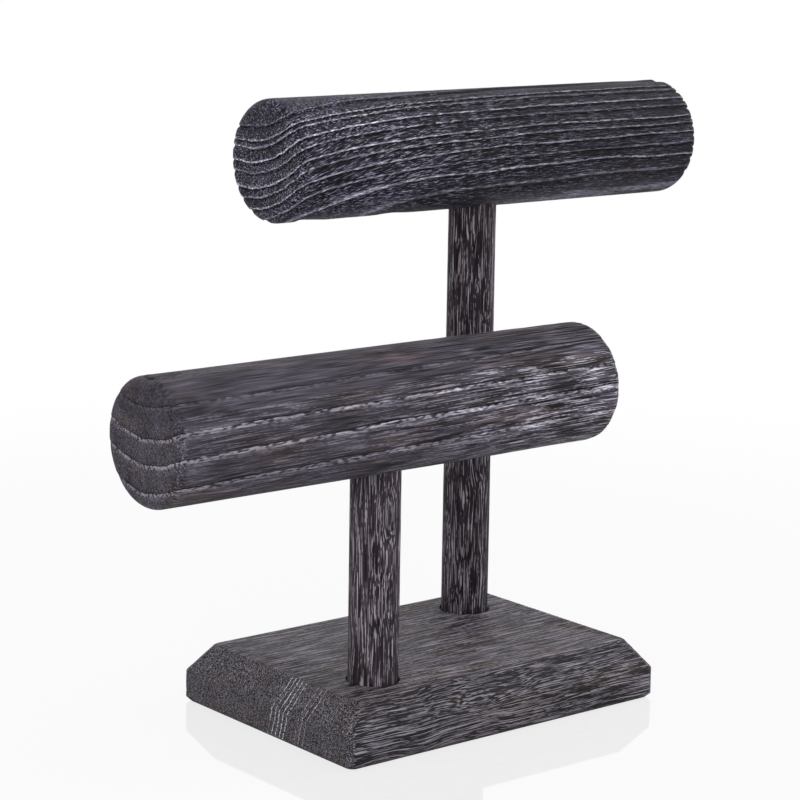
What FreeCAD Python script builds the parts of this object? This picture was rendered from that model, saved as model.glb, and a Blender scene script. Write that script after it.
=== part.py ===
import FreeCAD, Part
import os
import Sketcher

# A two-tier bracelet stand: a chamfered base, two round posts and a round bar on each post.
# Millimetres. +X runs along the bars, -Y is the front, +Z is up, z = 0 is the underside of the base.

Vector = FreeCAD.Vector
doc = FreeCAD.newDocument("BraceletStand")

sizes = [
    ("base_length", "151", "base, along the bars"),
    ("base_width", "106", "base, front to back"),
    ("base_height", "23", "base, thickness"),
    ("bevel_run", "8", "bevel round the top, measured inwards"),
    ("bevel_drop", "11", "bevel round the top, measured downwards"),
    ("corner_radius", "3", "upright corners of the base"),
    ("top_round", "1.5", "softened edge round the top face"),
    ("ridge_round", "2", "softened edge below the bevel"),
    ("foot_chamfer", "1.5", "chamfer round the underside"),
    ("post_diameter", "19", "both posts"),
    ("post_chamfer", "1", "chamfer on both ends of a post"),
    ("post_inset_x", "30.5", "from an end of the base to the nearer post's axis"),
    ("post_inset_y", "26", "from a long side of the base to the nearer post's axis"),
    ("socket_floor", "7", "wood left under a base socket"),
    ("socket_clearance", "0.5", "open ring round a post in the base"),
    ("bar_length", "203", "both bars"),
    ("bar_diameter", "46.5", "both bars"),
    ("bar_end_round", "4", "softened edge of a bar's ends"),
    ("bar_bore_depth", "20", "drilling for the post, from the bar's underside"),
    ("bar_bore_clearance", "0.08", "running fit of a post in its bar"),
    ("lower_bar_height", "124.5", "axis of the lower bar above the table"),
    ("upper_bar_height", "210.5", "axis of the upper bar above the table"),
]

sheet = doc.addObject("Spreadsheet::Sheet", "Sizes")
for row, (alias, value, note) in enumerate(sizes, start=1):
    sheet.set(f"A{row}", note)
    sheet.set(f"B{row}", value)
    sheet.setAlias(f"B{row}", alias)
doc.recompute()


def size(alias):
    return float(sheet.get(alias))


def new_body(label):
    body = doc.addObject("PartDesign::Body", label)
    body.Label = label
    return body


def new_sketch(body, name, role, height=None):
    # A sketch on one of the body's own origin planes, raised by an expression where one is given.
    plane = next(item for item in body.Origin.OriginFeatures if item.Role == role)
    sketch = body.newObject("Sketcher::SketchObject", name)
    sketch.AttachmentSupport = [(plane, "")]
    sketch.MapMode = "FlatFace"
    if height:
        sketch.setExpression("AttachmentOffset.Base.z", height)
    return sketch


def draw_circle(sketch, diameter, centre_x=None, centre_y=None):
    # A circle whose diameter and centre follow expressions; without a centre it sits on the origin.
    start = Vector(0, 0, 0)
    ring = sketch.addGeometry(Part.Circle(start, Vector(0, 0, 1), size("post_diameter") / 2))
    bind(sketch, Sketcher.Constraint("Diameter", ring, size("post_diameter")), diameter)
    if centre_x is None:
        sketch.addConstraint(Sketcher.Constraint("Coincident", ring, 3, -1, 1))
        return
    bind(sketch, Sketcher.Constraint("DistanceX", -1, 1, ring, 3, 0.0), centre_x)
    bind(sketch, Sketcher.Constraint("DistanceY", -1, 1, ring, 3, 0.0), centre_y)


def bind(sketch, constraint, expression):
    index = sketch.addConstraint(constraint)
    sketch.setExpression(f"Constraints[{index}]", expression)


def draw_rounded_rectangle(sketch, length, width, radius):
    # Four sides and four corner arcs, centred on the origin; the arcs' centres carry the length and width.
    x, y, r = size("base_length") / 2, size("base_width") / 2, size("corner_radius")
    quarter = FreeCAD.Units.Quantity("90 deg").getValueAs("rad").Value
    corners = [(1, 1), (-1, 1), (-1, -1), (1, -1)]
    arcs = []
    for turn, (side_x, side_y) in enumerate(corners):
        centre = Vector(side_x * (x - r), side_y * (y - r), 0)
        circle = Part.Circle(centre, Vector(0, 0, 1), r)
        arcs.append(sketch.addGeometry(Part.ArcOfCircle(circle, turn * quarter, (turn + 1) * quarter)))
    for turn in range(4):
        here, following = arcs[turn], arcs[(turn + 1) % 4]
        start, end = sketch.getPoint(here, 2), sketch.getPoint(following, 1)
        side = sketch.addGeometry(Part.LineSegment(start, end))
        sketch.addConstraint(Sketcher.Constraint("Tangent", here, 2, side, 1))
        sketch.addConstraint(Sketcher.Constraint("Tangent", side, 2, following, 1))
        sketch.addConstraint(Sketcher.Constraint("Vertical" if turn % 2 else "Horizontal", side))
    for arc in arcs[1:]:
        sketch.addConstraint(Sketcher.Constraint("Equal", arcs[0], arc))
    sketch.addConstraint(Sketcher.Constraint("Symmetric", arcs[0], 3, arcs[2], 3, -1, 1))
    bind(sketch, Sketcher.Constraint("Radius", arcs[0], r), radius)
    bind(sketch, Sketcher.Constraint("DistanceX", arcs[2], 3, arcs[0], 3, 2 * (x - r)), f"{length} - 2 * {radius}")
    bind(sketch, Sketcher.Constraint("DistanceY", arcs[2], 3, arcs[0], 3, 2 * (y - r)), f"{width} - 2 * {radius}")


def soften(body, name, kind, amount, chosen):
    # Rounds or chamfers the edges of the body's last feature that the test chooses.
    doc.recompute()
    base = body.Tip
    names = [f"Edge{n}" for n, edge in enumerate(base.Shape.Edges, start=1) if chosen(edge)]
    feature = body.newObject(f"PartDesign::{kind}", name)
    feature.Base = (base, names)
    feature.setExpression("Radius" if kind == "Fillet" else "Size", amount)


def level_at(height):
    # Chooses the edges that lie flat at a height.
    tolerance = 1e-4
    return lambda edge: max(abs(edge.BoundBox.ZMin - height), abs(edge.BoundBox.ZMax - height)) < tolerance


def place(body, x, y, z):
    body.setExpression("Placement.Base.x", x)
    body.setExpression("Placement.Base.y", y)
    body.setExpression("Placement.Base.z", z)


# The front post stands at the near left of the base, the rear post at the far right.
front_x = "Sizes.post_inset_x - Sizes.base_length / 2"
front_y = "Sizes.post_inset_y - Sizes.base_width / 2"
rear_x = "Sizes.base_length / 2 - Sizes.post_inset_x"
rear_y = "Sizes.base_width / 2 - Sizes.post_inset_y"


def make_base():
    # Straight sides, then a bevel lofted in to the smaller top face, softened edges and two blind sockets.
    body = new_body("base")
    side_height = "Sizes.base_height - Sizes.bevel_drop"
    foot = new_sketch(body, "BaseFoot", "XY_Plane")
    draw_rounded_rectangle(foot, "Sizes.base_length", "Sizes.base_width", "Sizes.corner_radius")
    sides = body.newObject("PartDesign::Pad", "BaseSides")
    sides.Profile = foot
    sides.setExpression("Length", side_height)

    ridge = new_sketch(body, "BaseRidge", "XY_Plane", side_height)
    draw_rounded_rectangle(ridge, "Sizes.base_length", "Sizes.base_width", "Sizes.corner_radius")
    top = new_sketch(body, "BaseTop", "XY_Plane", "Sizes.base_height")
    draw_rounded_rectangle(
        top,
        "(Sizes.base_length - 2 * Sizes.bevel_run)",
        "(Sizes.base_width - 2 * Sizes.bevel_run)",
        "Sizes.corner_radius",
    )
    doc.recompute()
    bevel = body.newObject("PartDesign::AdditiveLoft", "BaseBevel")
    bevel.Profile = ridge
    bevel.Sections = [top]
    bevel.Ruled = True

    height, drop = size("base_height"), size("bevel_drop")
    soften(body, "BaseTopRound", "Fillet", "Sizes.top_round", level_at(height))
    soften(body, "BaseRidgeRound", "Fillet", "Sizes.ridge_round", level_at(height - drop))
    soften(body, "BaseFootChamfer", "Chamfer", "Sizes.foot_chamfer", level_at(0))

    doc.recompute()
    mouths = new_sketch(body, "SocketMouths", "XY_Plane", "Sizes.base_height")
    socket = "Sizes.post_diameter + 2 * Sizes.socket_clearance"
    draw_circle(mouths, socket, front_x, front_y)
    draw_circle(mouths, socket, rear_x, rear_y)
    sockets = body.newObject("PartDesign::Pocket", "Sockets")
    sockets.Profile = mouths
    sockets.setExpression("Length", "Sizes.base_height - Sizes.socket_floor")
    return body


def make_post(label, x, y, bar_height):
    # A round dowel from its socket floor up to the end of the drilling in its bar, chamfered at both ends.
    body = new_body(label)
    length = f"{bar_height} - Sizes.bar_diameter / 2 + Sizes.bar_bore_depth - Sizes.socket_floor"
    section = new_sketch(body, label + "_section", "XY_Plane")
    draw_circle(section, "Sizes.post_diameter")
    dowel = body.newObject("PartDesign::Pad", label + "_dowel")
    dowel.Profile = section
    dowel.setExpression("Length", length)
    soften(body, label + "_ends", "Chamfer", "Sizes.post_chamfer", is_circle)
    place(body, x, y, "Sizes.socket_floor")
    return body


def make_bar(label, x, y, bar_height):
    # A round bar lying along X with softened ends, drilled from below for its post.
    body = new_body(label)
    section = new_sketch(body, label + "_section", "YZ_Plane")
    draw_circle(section, "Sizes.bar_diameter")
    log = body.newObject("PartDesign::Pad", label + "_log")
    log.Profile = section
    log.Midplane = True
    log.setExpression("Length", "Sizes.bar_length")
    soften(body, label + "_ends", "Fillet", "Sizes.bar_end_round", is_circle)

    doc.recompute()
    bore_end = new_sketch(body, label + "_bore_end", "XY_Plane", "Sizes.bar_bore_depth - Sizes.bar_diameter / 2")
    draw_circle(bore_end, "Sizes.post_diameter + 2 * Sizes.bar_bore_clearance")
    bore = body.newObject("PartDesign::Pocket", label + "_bore")
    bore.Profile = bore_end
    bore.Type = "ThroughAll"
    place(body, x, y, bar_height)
    return body


def is_circle(edge):
    return isinstance(edge.Curve, Part.Circle)


parts = [
    make_base(),
    make_post("front_post", front_x, front_y, "Sizes.lower_bar_height"),
    make_post("rear_post", rear_x, rear_y, "Sizes.upper_bar_height"),
    make_bar("lower_bar", front_x, front_y, "Sizes.lower_bar_height"),
    make_bar("upper_bar", rear_x, rear_y, "Sizes.upper_bar_height"),
]
doc.recompute()

for item in doc.Objects:
    if "Invalid" in item.State or "Error" in item.State:
        raise RuntimeError(f"{item.Label} failed to build: {item.State}")
for body in parts:
    if body.Shape.isNull() or not body.Shape.isValid():
        raise RuntimeError(f"{body.Label} has no valid solid")

os.makedirs("parts", exist_ok=True)
for body in parts:
    body.Shape.exportStep(f"parts/{body.Label}.step")
    box = body.Shape.optimalBoundingBox()
    print(f"{body.Label}: {body.Shape.Volume:.0f} mm3, {box.XLength:.1f} x {box.YLength:.1f} x {box.ZLength:.1f} mm")
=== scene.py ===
import math

import bpy
import numpy as np
from mathutils import Matrix, Vector


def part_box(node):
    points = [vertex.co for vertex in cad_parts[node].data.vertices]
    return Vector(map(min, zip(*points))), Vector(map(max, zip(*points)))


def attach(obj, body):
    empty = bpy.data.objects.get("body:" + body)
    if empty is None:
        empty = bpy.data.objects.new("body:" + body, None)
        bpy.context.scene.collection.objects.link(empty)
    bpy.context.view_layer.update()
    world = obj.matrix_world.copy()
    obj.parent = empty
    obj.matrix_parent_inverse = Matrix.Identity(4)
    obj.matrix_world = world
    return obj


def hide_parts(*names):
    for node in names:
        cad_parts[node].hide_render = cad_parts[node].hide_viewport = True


# Two-tier jewelry stand in charred, brushed wood with pale lime in the grain.
# Shapes are worked out in millimetres and go into the meshes in metres, in the frame's own axes.
# Every piece has its own grain axes: along the fibres, across them and up.

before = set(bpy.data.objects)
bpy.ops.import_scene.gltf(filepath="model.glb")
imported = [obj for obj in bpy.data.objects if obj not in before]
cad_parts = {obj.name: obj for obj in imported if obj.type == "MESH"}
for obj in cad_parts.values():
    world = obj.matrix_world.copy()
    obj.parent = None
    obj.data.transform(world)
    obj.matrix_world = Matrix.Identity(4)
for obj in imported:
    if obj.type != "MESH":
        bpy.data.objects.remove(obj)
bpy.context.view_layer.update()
mm = 0.001
print("frame loaded:", ", ".join(sorted(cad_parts)))


def nodeBox(node):
    # A CAD node's centre and half extents, in millimetres.
    low, high = (np.array(corner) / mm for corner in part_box(node))
    return (low + high) / 2, (high - low) / 2


def easeStep(start, end, x):
    # 0 before start, 1 after end, and the cubic 3t2 - 2t3 between them.
    t = np.clip((x - start) / (end - start), 0.0, 1.0)
    return t * t * (3.0 - 2.0 * t)


lattice = {
    "axisSteps": (73856093, 19349663, 83492791),
    "seedStep": 2654435761,
    "stirs": ((13, 1274126177), (16, 1103515245)),  # shift and factor
    "top": 0x7FFFFFFF,
}


def knots(points, seed):
    # Value noise from -1 to 1: a random height at each corner of a unit lattice, blended by the quintic ease
    # 6t5 - 15t4 + 10t3. A corner's height is stirred together from its place and the seed.
    cell = np.floor(points)
    t = points - cell
    t = t * t * t * (t * (t * 6.0 - 15.0) + 10.0)
    cell = cell.astype(np.int64)
    stepX, stepY, stepZ = lattice["axisSteps"]
    total = np.zeros(len(points))
    for corner in range(8):
        step = np.array([(corner >> axis) & 1 for axis in range(3)])
        x, y, z = (cell + step).T
        height = x * stepX ^ y * stepY ^ z * stepZ ^ seed * lattice["seedStep"]
        for shift, factor in lattice["stirs"]:
            height = ((height ^ (height >> shift)) * factor) & lattice["top"]
        share = np.prod(np.where(step, t, 1.0 - t), axis=1)
        total += share * (height / (lattice["top"] // 2) - 1.0)
    return total


wear = {
    "waverDetail": (0.4, 2.7),  # share and fineness of the second noise in the rings' waver
    "bundleDetail": (0.65, 0.35, 2.1),  # shares of both noises in the bundles, fineness of the second
    "crestFrom": 0.5,  # part of a ring's width at which the hard crest begins
    "endFacing": 0.5,  # a normal that leans this far along the fibres belongs to an end
}


def growth(local, wood):
    # Straightens the grain and counts the growth rings. Rings climb by rise * (1 - exp(-along / reach)) and
    # fibres by fibreRise times as much; fibres also sway across and up with slow noise. A ring's depth is the
    # parabola (side - crown)^2 / (2 bend) less the height, both turned by lean and warped by slow noise, and
    # the count runs evenly from one ring line to the next. An eye pushes rings and fibres out round a place.
    along, across, up = local.T
    climb = wood["rise"] * (1.0 - np.exp(-along / wood["reach"]))
    up = up - climb
    grain = np.stack([along, across, up], axis=-1)
    slow = grain / np.array(wood["swaySize"])
    swayAcross, swayUp = wood["sway"]
    swayed = grain.copy()
    swayed[:, 1] += swayAcross * knots(slow, wood["seed"] + 5)
    swayed[:, 2] += swayUp * knots(slow, wood["seed"] + 6) - (wood["fibreRise"] - 1.0) * climb
    lean = math.radians(wood["lean"])
    side = across * math.cos(lean) - up * math.sin(lean)
    high = across * math.sin(lean) + up * math.cos(lean)
    depth = (side - wood["crown"]) ** 2 / (2.0 * wood["bend"]) - high
    length, breadth = wood["waverSize"]
    size = np.array([length, breadth, breadth])
    share, fineness = wear["waverDetail"]
    broad = knots(grain / size, wood["seed"])
    fine = knots(grain / size * fineness, wood["seed"] + 1)
    depth += wood["waver"] * (broad + share * fine)
    for place, extent, push in wood["eyes"]:
        swell = push * np.exp(-np.sum(((local - place) / extent) ** 2, axis=1))
        depth += swell
        swayed[:, 2] += swell
    lines = np.array(wood["ringLines"])
    return swayed, np.interp(depth, lines, np.arange(len(lines)))


def terrace(rings, step):
    # Brushed ring: 1 on the hard crest, falling to 0 within step past a ring line and then rising slowly to
    # the next crest.
    part = rings - np.floor(rings)
    return np.maximum(easeStep(step, wear["crestFrom"], part), 1.0 - easeStep(0.0, step, part))


def weathered(local, normal, wood):
    # How deep each point is brushed out, in millimetres, and the fields that the finish reads. Grooves of
    # rings and of fibre bundles add up, and bundles deepen with the square of coarse. On ends the grain is
    # spread, so that pores look wider there.
    grain, rings = growth(local, wood)
    length, breadth = wood["bundle"]
    size = np.array([length, breadth, breadth])
    broadShare, fineShare, fineness = wear["bundleDetail"]
    bundles = broadShare * knots(grain / size, wood["seed"] + 2)
    bundles += fineShare * knots(grain / size * fineness, wood["seed"] + 3)
    coarse = 1.0 + wood["coarseEnd"] * easeStep(*wood["coarseSpan"], grain[:, 0])
    sunk = wood["ringDepth"] * (1.0 - terrace(rings, wood["step"]))
    sunk += wood["fibreDepth"] * coarse**2 * (0.5 - 0.5 * bundles)
    limed = np.array(wood["ringLime"])[np.round(rings).astype(int)]
    width = np.append(np.diff(wood["ringLines"]), 1.0)[np.floor(rings).astype(int)]
    grain = grain / np.where(np.abs(normal[:, :1]) > wear["endFacing"], wood["endSpread"], 1.0)
    return sunk, {"grain": grain, "rings": rings, "bundles": bundles, "limed": limed, "ringWidth": width}


def closedQuads(grid):
    # Quads between neighbouring rows of point numbers, where every row closes on itself.
    following = np.roll(grid, -1, axis=1)
    return np.stack([grid[:-1], following[:-1], following[1:], grid[1:]], axis=-1).reshape(-1, 4)


def closedFan(ring, pole):
    # Triangles from a closed row of point numbers to one point.
    return np.stack([ring, np.roll(ring, -1), np.full(len(ring), pole)], axis=-1)


def putPiece(name, points, faces, fields, node, material):
    # Makes the mesh and its point attributes, then hands the piece to the body that its CAD node belongs to.
    mesh = bpy.data.meshes.new(name)
    mesh.from_pydata((points * mm).tolist(), [], faces)
    mesh.shade_smooth()
    for field, values in fields.items():
        kind, key = ("FLOAT_VECTOR", "vector") if values.ndim == 2 else ("FLOAT", "value")
        mesh.attributes.new(field, kind, "POINT").data.foreach_set(key, values.astype(np.float32).ravel())
    mesh.materials.append(material)
    piece = bpy.data.objects.new(name, mesh)
    bpy.context.scene.collection.objects.link(piece)
    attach(piece, node)
    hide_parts(node)
    print(f"{name}: {len(points)} points, {sum(len(face) - 2 for face in faces)} triangles")


limeFinish = {
    "rampSpan": 8.0,  # millimetres that a ramp covers, centred on a ring line
    "latticeTurn": 0.6,  # turns the noise about the fibres, so that no flat face lies along its lattice
    "noiseRoughness": 0.55,
    "noiseSpread": (8.0, 10.9, 12.7),  # brings noise of 0, 1 and 2 octaves to a spread of about 1
    "offsets": {"streak": 3.1, "fleck": 17.7, "speck": 41.3, "patch": 63.9, "worn": 85.2, "crust": 29.5},
    "worn": (50.0, 9.0, 9.0),
    "crust": (2.6, 0.9, 0.9),
    "wornBrown": (0.2, 1.6),  # wear from which brown shows, and at which it is full
    "limeOverBrown": 2.0,
    "limeOverTint": 2.5,
    "eyeGamma": 2.2,
    "bumpMix": (0.5, 0.5, 2.0),  # streaks, specks and lime flecks
    "bumpDepth": 0.12,  # millimetres
    "roughness": (0.52, 0.05, 0.4),  # the wood's own, what specks add and what lime adds
}


class Tint:
    # One socket of a material. Sums, differences, products, quotients and powers of tints add Math nodes.
    def __init__(self, tree, socket=None):
        self.tree = tree
        self.socket = socket

    def node(self, kind, settings=None, sockets=None, out=0):
        # Adds a node with those settings; a tint is linked to its input and a plain value is set there.
        made = self.tree.nodes.new("ShaderNode" + kind)
        for key, value in (settings or {}).items():
            if key == "stops":
                self.fillRamp(made.color_ramp, value)
            else:
                setattr(made, key, value)
        for key, value in (sockets or {}).items():
            if isinstance(value, Tint):
                self.tree.links.new(value.socket, made.inputs[key])
            else:
                made.inputs[key].default_value = value
        return Tint(self.tree, made.outputs[out] if made.outputs else None)

    def fillRamp(self, ramp, stops):
        # Stops are (millimetres past a ring line, grey) pairs, with the line at the ramp's middle.
        while len(ramp.elements) < len(stops):
            ramp.elements.new(0.5)
        for element, (place, grey) in zip(ramp.elements, stops):
            element.position = place / limeFinish["rampSpan"] + 0.5
            element.color = (grey, grey, grey, 1.0)

    def math(self, operation, *values):
        # The operation on values or tints, in the order given.
        return self.node("Math", {"operation": operation}, dict(enumerate(values)))

    def __add__(self, other):
        return self.math("ADD", self, other)

    def __sub__(self, other):
        return self.math("SUBTRACT", self, other)

    def __rsub__(self, other):
        return self.math("SUBTRACT", other, self)

    def __mul__(self, other):
        return self.math("MULTIPLY", self, other)

    def __truediv__(self, other):
        return self.math("DIVIDE", self, other)

    def __rtruediv__(self, other):
        return self.math("DIVIDE", other, self)

    def __pow__(self, other):
        return self.math("POWER", self, other)

    __radd__ = __add__
    __rmul__ = __mul__

    def ease(self, start, end):
        # 0 at start, 1 at end, eased between them.
        sockets = {0: self, 1: start, 2: end, 3: 0.0, 4: 1.0}
        return self.node("MapRange", {"interpolation_type": "SMOOTHSTEP"}, sockets)

    def atLeast(self, floor):
        # The greater of this and floor.
        return self.math("MAXIMUM", self, floor)

    def capped(self):
        # This, held between 0 and 1.
        return self.node("Math", {"operation": "ADD", "use_clamp": True}, {0: self, 1: 0.0})


def newTree(name):
    # A new material, and a tint that adds nodes to its empty tree.
    material = bpy.data.materials.new(name)
    material.use_nodes = True
    material.node_tree.nodes.clear()
    return material, Tint(material.node_tree)


def limedWood(name, look):
    # Charred wood with lime in it. Tones are summed as the eye sees them, 0 black to 1 white: the wood's own
    # tone, long streaks, short specks, slow patches and painted shade under the ring steps, then lime flecks
    # and lines. The sum is raised to eyeGamma, and towards the far end along the fibres a share of it is
    # taken away, so the piece gets darker there.
    material, wood = newTree(name)
    grain = wood.node("Attribute", {"attribute_name": "grain"}, out="Vector")
    rings = wood.node("Attribute", {"attribute_name": "rings"}, out="Fac")
    bundles = wood.node("Attribute", {"attribute_name": "bundles"}, out="Fac")
    limed = wood.node("Attribute", {"attribute_name": "limed"}, out="Fac")
    width = wood.node("Attribute", {"attribute_name": "ringWidth"}, out="Fac")
    along = wood.node("SeparateXYZ", {}, {0: grain}, out="X")

    def layer(kind, size, octaves=0):
        # Noise about 0 with a spread of about 1, in grains of those millimetres along, across and up.
        offset, turn = limeFinish["offsets"][kind], limeFinish["latticeTurn"]
        placed = {"Vector": grain, "Location": (offset,) * 3, "Rotation": (turn, 0.0, 0.0)}
        placed["Scale"] = tuple(1.0 / extent for extent in size)
        drawn = wood.node("Mapping", {"vector_type": "POINT"}, placed)
        rough = limeFinish["noiseRoughness"]
        sockets = {"Vector": drawn, "Scale": 1.0, "Detail": octaves, "Roughness": rough}
        noise = wood.node("TexNoise", {}, sockets)
        return (noise - 0.5) * limeFinish["noiseSpread"][octaves]

    def blend(share, under, over):
        # The colour that lies share of the way from under to over.
        return wood.node("Mix", {"data_type": "RGBA"}, {0: share, 6: under, 7: over}, out=2)

    streak = layer("streak", look["streak"], 1)
    fleck = layer("fleck", look["fleck"])
    speck = layer("speck", look["speck"])
    patch = layer("patch", look["patch"], 2)
    worn = layer("worn", limeFinish["worn"], 2)
    crust = layer("crust", limeFinish["crust"])

    ragged = rings + crust * look["ragged"] / width
    part = ragged.math("FRACT", ragged)
    past = (part - part.math("GREATER_THAN", part, 0.5)) * width / limeFinish["rampSpan"] + 0.5
    ringLine = wood.node("ValToRGB", {"stops": look["lineByRing"]}, {0: past})
    # Painted shade under each ring step, where the step's own shadow falls; the same ramp also dips the bump.
    stepShadeAndDip = wood.node("ValToRGB", {"stops": look["stepShadeByRing"]}, {0: past})
    coarse = 1.0 + look["coarseEnd"] * along.ease(*look["coarseSpan"])

    lineLime = ringLine * limed * crust.ease(*look["lineBreak"]) * look["lineLime"]
    strand = fleck * look["strandMix"][0] + speck * look["strandMix"][1]
    fleckLime = strand.ease(look["fleckFrom"], look["fleckFrom"] + look["fleckEdge"]) * look["fleckLime"]
    fleckLime = fleckLime * patch.ease(*look["fleckPatch"]) * limed.ease(*look["fleckByRing"]) * coarse
    lime = lineLime + fleckLime
    # On the base's top the bundles field also holds painted sheen, which makes the tone paler there.
    fibre = streak * look["streakTone"] + speck * look["speckTone"] + bundles * look["bundleTone"]
    # The tone is darkened by the painted shade under each ring step.
    tone = look["tone"] + fibre * coarse + patch * look["patchTone"] - stepShadeAndDip * look["stepShadeTone"]
    # Darker towards the far end along the fibres.
    darkening = 1.0 - look["darkeningEnd"] * along.ease(*look["darkeningSpan"])
    level = (tone + lime).atLeast(look["darkest"]) ** limeFinish["eyeGamma"] * darkening

    bare = (1.0 - lime * limeFinish["limeOverBrown"]).capped()
    brown = worn.ease(*limeFinish["wornBrown"]) * bare * look["brownness"]
    stain = blend(brown, look["charTint"], look["brownTint"])
    tint = blend((lime * limeFinish["limeOverTint"]).capped(), stain, look["limeTint"])
    colour = wood.node("VectorMath", {"operation": "SCALE"}, {0: tint, "Scale": level})

    streakBump, speckBump, fleckBump = limeFinish["bumpMix"]
    height = streak * streakBump + speck * speckBump + fleckLime * fleckBump - stepShadeAndDip
    distance = limeFinish["bumpDepth"] * mm
    bump = wood.node("Bump", {}, {"Strength": look["bump"], "Distance": distance, "Height": height})
    bareRough, speckRough, limeRough = limeFinish["roughness"]
    rough = bareRough + speck * speckRough + lime * limeRough
    sockets = {"Base Color": colour, "Roughness": rough, "Normal": bump, "Specular IOR Level": look["gloss"]}
    surface = wood.node("BsdfPrincipled", {}, sockets)
    wood.node("OutputMaterial", {}, {"Surface": surface})
    return material


# Lengths are in millimetres and tones run from 0, black, to 1, white.
upperBar = {
    "axis": 0,  # the frame's axis that the fibres follow
    "endCut": 4.0,  # softened edge of the ends
    "endRounded": True,
    "faceRows": 48,
    "edgeRows": 12,
    "sideRows": 132,
    "columns": 392,
    "lean": 0.0,  # degrees by which the ring arcs are turned about the fibres
    "crown": 11.0,  # where the arcs peak
    "bend": 47.0,  # the arcs' radius at the peak
    "rise": 10.5,  # how far the rings climb along the piece
    "reach": 45.0,  # within about this length
    "fibreRise": 2.0,  # the fibres climb by this times as much
    "waver": 0.45,  # how far slow noise moves a ring
    "waverSize": (30.0, 8.0),  # grains of that noise, along and across
    "sway": (0.4, 0.4),  # how far slow noise moves the fibres, across and up
    "swaySize": (30.0, 7.0, 7.0),
    "eyes": (),  # place, extent and push
    "seed": 11,
    # How deep each ring line lies, and how much lime it holds.
    "ringLines": (-80, -12, -6.5, -4, 1.25, 5.5, 11.25, 14.75, 19, 23.5, 27.5, 32, 36, 40.5, 45, 50),
    "ringLime": (0.3, 0.45, 0.8, 0.7, 1, 0.6, 1, 0.7, 0.8, 0.6, 0.9, 0.6, 0.8, 0.6, 0.7, 0.5),
    "step": 0.12,  # part of a ring's width taken by the step into its groove
    "ringDepth": 0.7,
    "fibreDepth": 0.12,
    "bundle": (9.0, 0.9),  # length and breadth of the fibre bundles
    "coarseEnd": -0.4,  # how much coarser the far end is
    "coarseSpan": (60.0, 190.0),
    "endSpread": (1.0, 1.5, 1.0),  # widening of the pattern on the ends
    # Grains along, across and up.
    "streak": (14.0, 1.3, 1.3),
    "fleck": (1.3, 0.36, 0.36),
    "speck": (4.0, 0.36, 0.36),
    "patch": (26.0, 9.0, 9.0),
    "ragged": 0.08,  # how far crust moves a ring line
    # Lime, and the painted shade under each ring step, each by its distance past a ring line.
    "lineByRing": ((-0.95, 0.0), (-0.6, 0.8), (-0.35, 1.0), (-0.12, 0.9), (0.0, 0.0)),
    "stepShadeByRing": ((-0.1, 0.0), (0.0, 1.0), (0.35, 0.8), (0.9, 0.25), (1.8, 0.0)),
    "lineBreak": (-3.2, -0.2),  # crust that breaks the lines
    "lineLime": 0.52,
    "strandMix": (0.68, 0.75),  # flecks and specks in a strand of lime
    "fleckFrom": 0.9,  # strands above this are limed
    "fleckEdge": 0.3,
    "fleckLime": 0.28,
    "fleckPatch": (-4.0, 0.0),
    "fleckByRing": (0.1, 0.7),
    "darkeningEnd": 0.42,  # share of the tone taken away at the far end, which is darker
    "darkeningSpan": (36.0, 80.0),
    "gloss": 0.1,
    "tone": 0.2,
    "streakTone": 0.02,
    "speckTone": 0.08,
    "bundleTone": 0.03,
    "patchTone": 0.015,
    "stepShadeTone": 0.14,
    "darkest": 0.08,
    "brownness": 0.35,
    "charTint": (1.08, 1.0, 1.5, 1.0),
    "brownTint": (1.3, 1.0, 1.0, 1.0),
    "limeTint": (1.02, 1.0, 1.22, 1.0),
    "bump": 0.7,
}

lowerBar = dict(
    upperBar,
    crown=-1.0,
    bend=46.0,
    rise=9.0,
    reach=290.0,
    fibreRise=1.0,
    waver=0.4,
    seed=29,
    ringLines=(-60, -46, -34, -23, -13, -2, 7, 16.5, 26, 36, 46, 56),
    ringLime=(0.2, 0.2, 0.2, 0.2, 0.25, 0.9, 1, 0.8, 0.7, 0.7, 0.7, 0.6),
    step=0.05,
    ringDepth=0.2,
    fibreDepth=0.06,
    bundle=(14.0, 0.9),
    coarseEnd=1.6,
    endSpread=(1.0, 1.0, 1.0),
    streak=(22.0, 1.0, 1.0),
    fleck=(2.0, 0.38, 0.38),
    speck=(12.0, 0.38, 0.38),
    lineByRing=((0.05, 0.0), (0.3, 1.0), (1.1, 0.8), (1.9, 0.2), (3.9, 0.0)),
    stepShadeByRing=((-1.6, 0.0), (-0.4, 0.3), (0.0, 1.0), (0.15, 0.8), (0.35, 0.0)),
    lineBreak=(-1.3, 0.7),
    lineLime=0.38,
    strandMix=(0.5, 0.95),
    fleckFrom=0.8,
    fleckLime=0.12,
    darkeningEnd=0.0,
    tone=0.265,
    streakTone=0.026,
    speckTone=0.024,
    stepShadeTone=0.12,
    brownness=0.6,
    charTint=(1.13, 1.0, 1.3, 1.0),
    limeTint=(1.03, 1.0, 1.15, 1.0),
)


def turnedFaces(rows, columns):
    # Faces of a turned form: a start pole, rows of columns and an end pole, wound to face outwards.
    grid = 1 + np.arange(rows * columns).reshape(rows, columns)
    start = closedFan(grid[0], 0)[:, ::-1]
    end = closedFan(grid[-1], rows * columns + 1)
    return closedQuads(grid).tolist() + start.tolist() + end.tolist()


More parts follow.
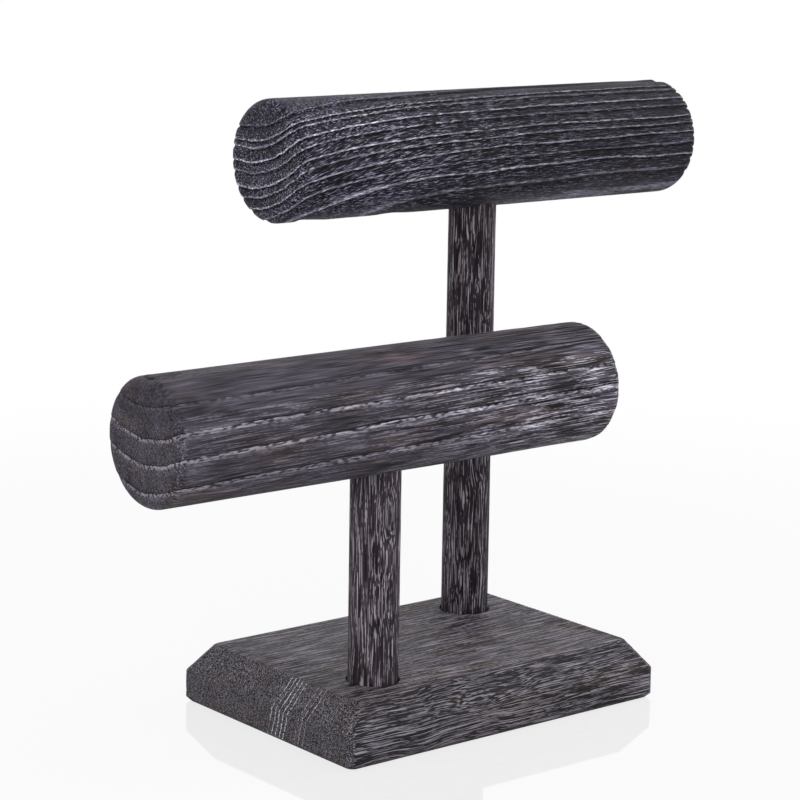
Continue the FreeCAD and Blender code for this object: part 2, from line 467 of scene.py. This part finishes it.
def turnedSurface(name, node, wood):
    # A turned piece: the half section (end face, rounded or chamfered edge, side, edge, end face) is carried
    # round the axis, and every point is sunk along its normal by the brushed-out rings and fibre bundles.
    centre, half = nodeBox(node)
    axis, cut = wood["axis"], wood["endCut"]
    length, radius = half[axis], half[(axis + 1) % 3]
    face = np.linspace(0.0, radius - cut, wood["faceRows"] + 1)[1:]
    curl = np.linspace(0.0, 1.0, wood["edgeRows"] + 1)[1:]
    side = np.linspace(cut - length, length - cut, wood["sideRows"] + 2)[1:-1]
    tilt = curl * math.pi / 2 if wood["endRounded"] else np.full(len(curl), math.pi / 4)
    inward, outward = (1.0 - np.cos(tilt), np.sin(tilt)) if wood["endRounded"] else (curl, curl)
    endAlong = np.concatenate([np.full(len(face), -length), inward * cut - length])
    endOut = np.concatenate([face, radius - cut + outward * cut])
    endTilt = np.concatenate([np.zeros(len(face)), tilt])
    flat = np.full(len(side), math.pi / 2)
    along = np.concatenate([endAlong, side, -endAlong[::-1]])
    out = np.concatenate([endOut, np.full(len(side), radius), endOut[::-1]])
    tilt = np.concatenate([endTilt, flat, math.pi - endTilt[::-1]])

    angle = np.linspace(0.0, 2.0 * math.pi, wood["columns"], endpoint=False)
    around = np.stack([np.zeros_like(angle), np.cos(angle), np.sin(angle)], axis=-1)
    forward = np.array([1.0, 0.0, 0.0])
    shape = along[:, None, None] * forward + out[:, None, None] * around
    normal = -np.cos(tilt)[:, None, None] * forward + np.sin(tilt)[:, None, None] * around
    shape = np.concatenate([[-length * forward], shape.reshape(-1, 3), [length * forward]])
    normal = np.concatenate([[-forward], normal.reshape(-1, 3), [forward]])

    sunk, fields = weathered(shape + length * forward, normal, wood)
    points = np.roll(shape - normal * sunk[:, None], axis, axis=1) + centre
    faces = turnedFaces(len(along), len(angle))
    putPiece(name, points, faces, fields, node, limedWood(name + "Wood", wood))


turnedSurface("upperBar", "upper_bar", upperBar)
turnedSurface("lowerBar", "lower_bar", lowerBar)


frontPost = {
    "axis": 2,
    "endCut": 1.0,
    "endRounded": False,
    "faceRows": 8,
    "edgeRows": 2,
    "sideRows": 120,
    "columns": 168,
    "lean": 35.0,
    "crown": 0.0,
    "bend": 60.0,
    "rise": 1.5,
    "reach": 90.0,
    "fibreRise": 1.0,
    "waver": 0.5,
    "waverSize": (35.0, 6.0),
    "sway": (0.8, 0.8),
    "swaySize": (16.0, 5.0, 5.0),
    "eyes": (),
    "seed": 47,
    "ringLines": tuple(range(-16, 18, 2)),
    "ringLime": (0.3, 0.8, 0.4, 0.6, 0.3, 0.7, 0.5, 0.3, 0.8, 0.4, 0.6, 0.3, 0.7, 0.4, 0.6, 0.5, 0.4),
    "step": 0.25,
    "ringDepth": 0.12,
    "fibreDepth": 0.1,
    "bundle": (13.0, 0.9),
    "coarseEnd": 0.0,
    "coarseSpan": (60.0, 190.0),
    "endSpread": (1.0, 1.5, 1.0),
    "streak": (20.0, 1.1, 1.1),
    "fleck": (2.0, 0.36, 0.36),
    "speck": (13.0, 0.36, 0.36),
    "patch": (22.0, 5.0, 5.0),
    "ragged": 0.08,
    "lineByRing": ((-0.3, 0.0), (0.0, 0.6), (0.3, 0.0)),
    "stepShadeByRing": ((0.0, 0.0), (0.1, 0.6), (0.6, 0.0)),
    "lineBreak": (-1.3, 0.7),
    "lineLime": 0.15,
    "strandMix": (0.4, 1.0),
    "fleckFrom": 0.8,
    "fleckEdge": 0.3,
    "fleckLime": 0.34,
    "fleckPatch": (-4.0, 0.0),
    "fleckByRing": (-0.5, 0.6),
    "darkeningEnd": 0.0,
    "darkeningSpan": (40.0, 85.0),
    "gloss": 0.1,
    "tone": 0.22,
    "streakTone": 0.015,
    "speckTone": 0.045,
    "bundleTone": 0.03,
    "patchTone": 0.015,
    "stepShadeTone": 0.05,
    "darkest": 0.08,
    "brownness": 0.5,
    "charTint": (1.33, 1.0, 1.3, 1.0),
    "brownTint": (1.45, 1.0, 1.0, 1.0),
    "limeTint": (1.06, 1.0, 1.12, 1.0),
    "bump": 0.7,
}

# The rear post is the front post's wood painted darker: painted shade of the bars above it.
rearPost = dict(frontPost, seed=53, lean=-50.0, sideRows=210, tone=0.185)

turnedSurface("frontPost", "front_post", frontPost)
turnedSurface("rearPost", "rear_post", rearPost)


baseRings = np.arange(-40, 41)

base = {
    "cornerRadius": 3.0,
    "bevelRun": 8.0,
    "bevelDrop": 11.0,
    "topRound": 1.5,
    "ridgeRound": 2.0,
    "footChamfer": 1.5,
    "roundPoints": 9,
    "border": 9.6,  # width of the rim that belongs to the skin
    "endColumns": 180,
    "sideColumns": 100,
    "cornerColumns": 10,
    "rowHeight": 0.42,
    "socketRadius": 10.0,
    "socketFloor": 7.0,
    "rimRound": 0.4,
    "rimRows": 4,
    "wallRows": 7,
    "floorRows": 4,
    "panelRows": 48,
    "rowEase": 1.2,  # above 1, rows stand closer near the socket
    "splitColumns": 80,
    "lean": 72.0,
    "crown": 0.0,
    "bend": 160.0,
    "rise": 1.0,
    "reach": 60.0,
    "fibreRise": 1.0,
    "waver": 0.3,
    "waverSize": (48.0, 7.0),
    "sway": (0.35, 0.9),
    "swaySize": (16.0, 8.0, 8.0),
    "eyes": (((62.0, -51.5, 14.0), (12.0, 6.0, 3.2), 2.2),),
    "seed": 71,
    "ringLines": 2.3 * baseRings,
    "ringLime": 0.1 + 0.8 * np.isin(baseRings, (1, 2, 3, 4, 5)) + 0.4 * np.isin(baseRings, (8, 9, 10)),
    "step": 0.3,
    "ringDepth": 0.12,
    "fibreDepth": 0.1,
    "bundle": (14.0, 0.9),
    "coarseEnd": 0.0,
    "coarseSpan": (60.0, 190.0),
    "endSpread": (1.0, 1.2, 1.0),
    "topFacing": 0.9,
    "topSpread": (0.8, 1.6, 1.0),
    # Painted sheen: how much paler the top is painted, through the bundles field.
    "topPaintedSheen": 1.7,
    "streak": (28.0, 1.4, 0.95),
    "fleck": (3.0, 0.27, 0.27),
    "speck": (18.0, 0.27, 0.27),
    "patch": (24.0, 12.0, 9.0),
    "ragged": 0.08,
    "lineByRing": ((-0.6, 0.0), (-0.35, 1.0), (-0.1, 1.0), (0.0, 0.0)),
    "stepShadeByRing": ((-0.1, 0.0), (0.0, 1.0), (0.4, 0.4), (1.0, 0.0)),
    "lineBreak": (-2.4, -0.2),
    "lineLime": 0.6,
    "strandMix": (0.5, 1.0),
    "fleckFrom": 0.35,
    "fleckEdge": 0.3,
    "fleckLime": 0.32,
    "fleckPatch": (-9.0, -2.0),
    "fleckByRing": (-2.0, -1.0),
    "darkeningEnd": 0.0,
    "darkeningSpan": (40.0, 85.0),
    "gloss": 0.22,
    "tone": 0.142,
    "streakTone": 0.005,
    "speckTone": 0.065,
    "bundleTone": 0.03,
    "patchTone": 0.01,
    "stepShadeTone": 0.06,
    "darkest": 0.08,
    "brownness": 1.0,
    "charTint": (1.28, 1.0, 1.38, 1.0),
    "brownTint": (1.55, 1.0, 0.85, 1.0),
    "limeTint": (1.06, 1.0, 1.12, 1.0),
    "bump": 0.7,
}


def roundedCorner(before, corner, after, radius, count):
    # Points of the arc of that radius that touches both legs of a corner, from the first leg to the second.
    before, corner, after = (np.array(point, float) for point in (before, corner, after))
    legIn = (before - corner) / np.linalg.norm(before - corner)
    legOut = (after - corner) / np.linalg.norm(after - corner)
    halfAngle = math.acos(np.clip(legIn @ legOut, -1.0, 1.0)) / 2.0
    middle = legIn + legOut
    centre = corner + middle / np.linalg.norm(middle) * radius / math.sin(halfAngle)
    first = corner + legIn * radius / math.tan(halfAngle) - centre
    last = corner + legOut * radius / math.tan(halfAngle) - centre
    sweep = math.pi - 2.0 * halfAngle
    t = np.linspace(0.0, 1.0, count)[:, None]
    return centre + (np.sin((1.0 - t) * sweep) * first + np.sin(t * sweep) * last) / math.sin(sweep)


def evenly(points, spacing):
    # Points along a polyline, no further apart than spacing.
    gap = np.linalg.norm(np.diff(points, axis=0), axis=1)
    run = np.concatenate([[0.0], np.cumsum(gap)])
    at = np.linspace(0.0, run[-1], int(math.ceil(run[-1] / spacing)) + 1)
    return np.stack([np.interp(at, run, points[:, axis]) for axis in range(2)], axis=-1)


def skinProfile(height):
    # The base's edge as (inset, height) points from the underside up: chamfered foot, side, ridge, bevel and
    # top edge.
    foot, run, drop = base["footChamfer"], base["bevelRun"], base["bevelDrop"]
    footIn, footOut = (foot, 0.0), (0.0, foot)
    ridge, edge, inner = (0.0, height - drop), (run, height), (base["border"], height)
    ridgeArc = roundedCorner(footOut, ridge, edge, base["ridgeRound"], base["roundPoints"])
    edgeArc = roundedCorner(ridge, edge, inner, base["topRound"], base["roundPoints"])
    return evenly(np.concatenate([[footIn, footOut], ridgeArc, edgeArc, [inner]]), base["rowHeight"])


def baseSkin(length, width, height):
    # The profile carried round a rounded rectangle: straight sides run from -1 to 1 and each corner is a
    # quarter turn.
    profile = skinProfile(height)
    slope = np.gradient(profile, axis=0)
    slope /= np.linalg.norm(slope, axis=1)[:, None]
    alongX = np.linspace(-1.0, 1.0, base["sideColumns"] + 1)
    alongY = np.linspace(-1.0, 1.0, base["endColumns"] + 1)
    quarter = math.pi / 2
    bend = np.linspace(0.0, quarter, base["cornerColumns"] + 1)[1:-1]
    oneX, oneY, oneBend = np.ones_like(alongX), np.ones_like(alongY), np.ones_like(bend)
    spanX = np.concatenate([alongX, oneBend, oneY, oneBend, -alongX, -oneBend, -oneY, -oneBend])
    spanY = np.concatenate([-oneX, -oneBend, alongY, oneBend, oneX, oneBend, -alongY, -oneBend])
    straight = [np.zeros_like(side) for side in (alongX, alongY, alongX, alongY)]
    turns = [np.concatenate([side, bend]) + (number - 1) * quarter for number, side in enumerate(straight)]
    turn = np.concatenate(turns)
    outX, outY = np.cos(turn), np.sin(turn)

    corner, inset = base["cornerRadius"], profile[:, :1]
    x = spanX * (length - inset - corner) + corner * outX
    y = spanY * (width - inset - corner) + corner * outY
    skin = np.stack([x, y, np.broadcast_to(profile[:, 1:], x.shape)], axis=-1)
    lean, rise = slope[:, 1:], slope[:, :1]
    normal = np.stack([lean * outX, lean * outY, np.broadcast_to(rise, x.shape)], axis=-1)
    frontMiddle = len(alongX) // 2
    backMiddle = len(alongX) + len(alongY) + 2 * len(bend) + len(alongX) // 2
    return skin, normal, frontMiddle, backMiddle


def topPanel(outline, post, height):
    # Half of the top: rows ruled from its outline to the socket's rim, then over the rim, down the wall and
    # in to the middle of the floor.
    ray = outline - post
    ray /= np.linalg.norm(ray, axis=1)[:, None]
    rim, radius, floor = base["rimRound"], base["socketRadius"], base["socketFloor"]
    mouth = post + ray * (radius + rim)
    share = (np.linspace(1.0, 0.0, base["panelRows"] + 1)[1:] ** base["rowEase"])[:, None, None]
    flat = mouth + (outline - mouth) * share
    flat = np.concatenate([flat, np.full(flat.shape[:2] + (1,), height)], axis=-1)
    curl = np.linspace(0.0, math.pi / 2, base["rimRows"] + 1)[1:]
    wall = np.linspace(height - rim, floor, base["wallRows"] + 1)[1:]
    floorOut = np.linspace(radius, 0.0, base["floorRows"] + 1)[1:-1]
    downOut = np.concatenate([radius + rim - rim * np.sin(curl), np.full(len(wall), radius), floorOut])
    downUp = np.concatenate([height - rim + rim * np.cos(curl), wall, np.full(len(floorOut), floor)])
    down = post + ray * downOut[:, None, None]
    level = np.broadcast_to(downUp[:, None, None], down.shape[:2] + (1,))
    return np.concatenate([flat, np.concatenate([down, level], axis=-1)])


def baseSurface(name, node):
    # The skin closes underneath; on top, two panels meet along the middle, one for each socket. Every point
    # is sunk along its normal by the brushed-out rings and fibre bundles, fading out at the foot.
    centre, half = nodeBox(node)
    length, width, height = half[0], half[1], 2.0 * half[2]
    skin, skinNormal, frontMiddle, backMiddle = baseSkin(length, width, height)
    rows, columns = skin.shape[:2]
    around = np.arange(columns)
    skinGrid = np.arange(rows * columns).reshape(rows, columns)
    faces = closedQuads(skinGrid).tolist() + [around[::-1].tolist()]

    split = np.linspace(-1.0, 1.0, base["splitColumns"] + 1)[1:-1]
    splitPoints = np.stack([0.0 * split, split * (width - base["border"]), 0.0 * split + height], axis=-1)
    splitIndex = rows * columns + np.arange(len(split))
    count = rows * columns + len(split)
    pieces = [skin.reshape(-1, 3), splitPoints]

    leftEdge = np.concatenate([around[backMiddle:], around[: frontMiddle + 1]])
    rightEdge = around[frontMiddle : backMiddle + 1]
    halves = [("front_post", leftEdge, splitIndex), ("rear_post", rightEdge, splitIndex[::-1])]
    for postNode, edge, middle in halves:
        post = nodeBox(postNode)[0][:2]
        outline = np.concatenate([skin[-1][edge], splitPoints[middle - splitIndex[0]]])[:, :2]
        panel = topPanel(outline, post, height)
        pieces += [panel.reshape(-1, 3), [[post[0], post[1], base["socketFloor"]]]]
        inside = count + np.arange(panel.shape[0] * panel.shape[1]).reshape(panel.shape[:2])
        grid = np.concatenate([[np.concatenate([skinGrid[-1][edge], middle])], inside])
        count += inside.size + 1
        faces += closedQuads(grid).tolist()
        faces += closedFan(grid[-1], count - 1).tolist()

    shape = np.concatenate(pieces)
    normal = np.tile([0.0, 0.0, 1.0], (len(shape), 1))
    normal[: rows * columns] = skinNormal.reshape(-1, 3)
    sunk, fields = weathered(shape + np.array([length, 0.0, 0.0]), normal, base)
    sunk *= easeStep(0.0, base["footChamfer"], shape[:, 2])
    # On top the pattern lies straight and spread, and the top is painted paler as painted sheen of the
    # grazing light; limed rings show on the ends alone.
    onTop = normal[:, 2] > base["topFacing"]
    fields["grain"][onTop, 2] = shape[onTop, 2]
    fields["grain"] /= np.where(onTop[:, None], base["topSpread"], 1.0)
    fields["limed"] *= np.abs(normal[:, 0]) > wear["endFacing"]
    # Painted sheen: the top's bundles field is raised, so that its tone is painted paler.
    fields["bundles"] += base["topPaintedSheen"] * onTop
    points = shape - normal * sunk[:, None] + np.array([centre[0], centre[1], 0.0])
    putPiece(name, points, faces, fields, node, limedWood(name + "Wood", base))


baseSurface("standBase", "base")


studio = {
    "floorHalf": 12.0,  # metres, as floorDrop and the lamps' places and sizes are
    "floorDrop": 0.0002,  # keeps the floor clear of the underside
    "floorColour": (0.85, 0.85, 0.86, 1.0),
    "floorGlaze": 0.04,  # roughness of the reflection
    "white": (1.0, 1.0, 1.0, 1.0),
    "floorShine": 0.12,
    "floorShade": 0.12,
    "shadeReach": (0.25, 0.7),
    "ambient": 0.5,
    "lamps": (  # name, place, aim, size and power
        ("overheadLamp", (-0.25, -0.35, 1.3), (0.0, 0.0, 0.1), 1.2, 3.0),
        ("frontLamp", (-0.9, -1.2, 0.7), (0.0, 0.0, 0.12), 0.8, 6.0),
        ("sideLamp", (1.2, -0.3, 0.6), (0.0, 0.0, 0.12), 0.8, 5.0),
    ),
}


def whiteFloor():
    # A plain white table that shows a pale reflection and, near the stand, a soft shadow, and a white
    # surround.
    size, low, white = studio["floorHalf"], -studio["floorDrop"], studio["white"]
    mesh = bpy.data.meshes.new("floor")
    corners = [(-size, -size, low), (size, -size, low), (size, size, low), (-size, size, low)]
    mesh.from_pydata(corners, [], [(0, 1, 2, 3)])
    floor = bpy.data.objects.new("floor", mesh)
    bpy.context.scene.collection.objects.link(floor)
    material, paint = newTree("whiteTable")
    place = paint.node("TexCoord", out="Object")
    distance = paint.node("VectorMath", {"operation": "LENGTH"}, {0: place}, out="Value")
    near = 1.0 - distance.ease(*studio["shadeReach"])
    seen = paint.node("LightPath", out="Is Camera Ray")
    plain = paint.node("BsdfDiffuse", {}, {"Color": studio["floorColour"]})
    bright = paint.node("Emission", {}, {"Color": white, "Strength": 1.0})
    shine = paint.node("BsdfGlossy", {}, {"Color": white, "Roughness": studio["floorGlaze"]})
    shaded = paint.node("MixShader", {}, {0: near * studio["floorShade"], 1: bright, 2: plain})
    polished = paint.node("MixShader", {}, {0: studio["floorShine"], 1: shaded, 2: shine})
    both = paint.node("MixShader", {}, {0: seen, 1: plain, 2: polished})
    paint.node("OutputMaterial", {}, {"Surface": both})
    mesh.materials.append(material)

    world = bpy.data.worlds.new("surround")
    bpy.context.scene.world = world
    world.use_nodes = True
    world.node_tree.nodes.clear()
    sky = Tint(world.node_tree)
    rays = sky.node("LightPath", out="Is Camera Ray")
    mirrored = Tint(sky.tree, rays.socket.node.outputs["Is Glossy Ray"])
    through = Tint(sky.tree, rays.socket.node.outputs["Is Transmission Ray"])
    shown = (rays + mirrored + through).capped()
    strength = studio["ambient"] + (1.0 - studio["ambient"]) * shown
    light = sky.node("Background", {}, {"Color": white, "Strength": strength})
    sky.node("OutputWorld", {}, {"Surface": light})


def softLamps():
    # Each lamp is a square panel at its place, turned to face its aim.
    for name, place, aim, size, power in studio["lamps"]:
        lamp = bpy.data.lights.new(name, "AREA")
        lamp.size = size
        lamp.energy = power
        holder = bpy.data.objects.new(name, lamp)
        bpy.context.scene.collection.objects.link(holder)
        back = Vector(place) - Vector(aim)
        holder.matrix_world = Matrix.Translation(place) @ back.to_track_quat("Z", "Y").to_matrix().to_4x4()


whiteFloor()
softLamps()
print("floor and lamps set")


viewpoint = {
    "place": (-0.6261547, -0.7569923, 0.3137054),  # metres
    "heading": 39.0415,  # degrees, as down and roll are
    "down": 11.2379,
    "roll": 0.8922,
    "lens": 117.928,
    "sensor": 36.0,
}


def takeView():
    # The camera stands at its place, turned by its heading, its downward tilt and its roll, in that order.
    lens = bpy.data.cameras.new("viewpoint")
    lens.sensor_width = viewpoint["sensor"]
    lens.lens = viewpoint["lens"]
    camera = bpy.data.objects.new("viewpoint", lens)
    bpy.context.scene.collection.objects.link(camera)
    heading = Matrix.Rotation(math.radians(-viewpoint["heading"]), 4, "Z")
    tilt = Matrix.Rotation(math.radians(90.0 - viewpoint["down"]), 4, "X")
    roll = Matrix.Rotation(math.radians(viewpoint["roll"]), 4, "Z")
    camera.matrix_world = Matrix.Translation(viewpoint["place"]) @ heading @ tilt @ roll
    bpy.context.scene.camera = camera
    bpy.context.scene.view_settings.view_transform = "Standard"


takeView()
